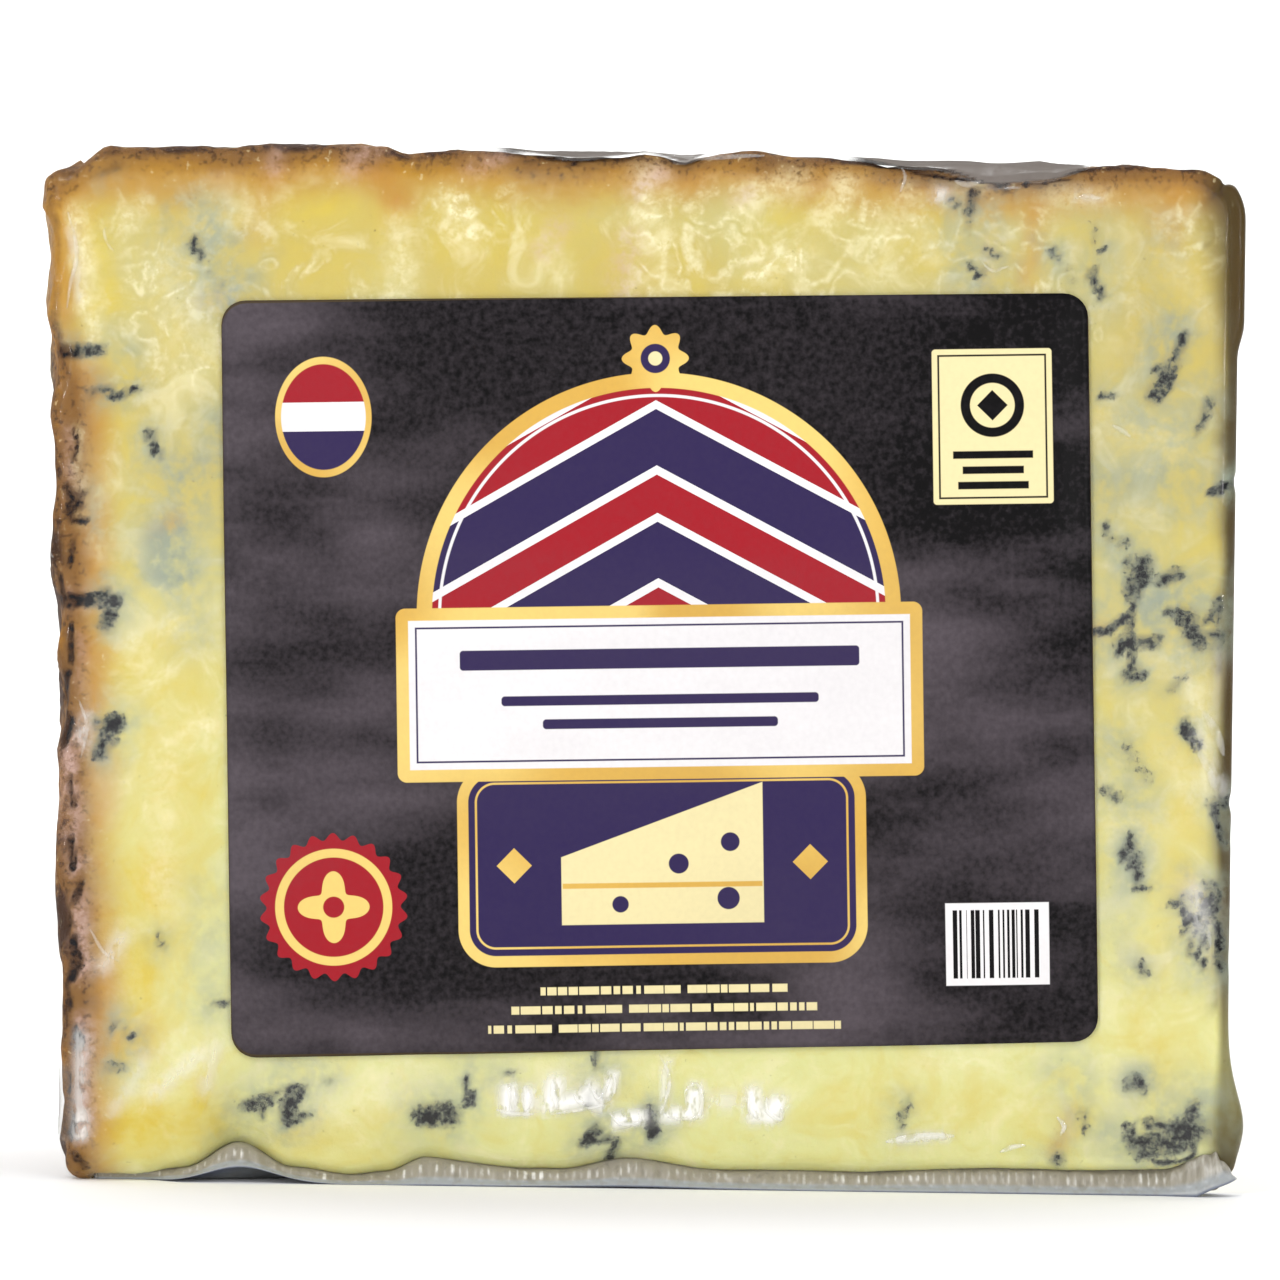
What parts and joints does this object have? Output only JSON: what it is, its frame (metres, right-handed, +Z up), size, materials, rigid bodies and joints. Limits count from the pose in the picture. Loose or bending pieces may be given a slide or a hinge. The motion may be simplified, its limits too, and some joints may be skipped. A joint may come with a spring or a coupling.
{
  "type": "stilton wedge",
  "caption": "Wedge of blue-veined cheese with its rind, shrunk into a clear vacuum bag with a ribbed hem, and a dark label on its front cut face.",
  "frame": {"origin": "under the middle of the pack, on the surface that it stands on", "axes": "+Z up, the front cut face with the label looks toward -Y, the rind is at -X and the tip of the wedge at +X"},
  "size_m": [0.1041, 0.0468, 0.089],
  "materials": {
    "wrapped_cheese": "clear glossy bag film shrunk over a cream blue-veined cheese with an orange-brown rind",
    "label_paper": null
  },
  "bodies": {
    "root": {"vacuum_pack": "wrapped_cheese", "label": "label_paper"}
  },
  "joints": []
}
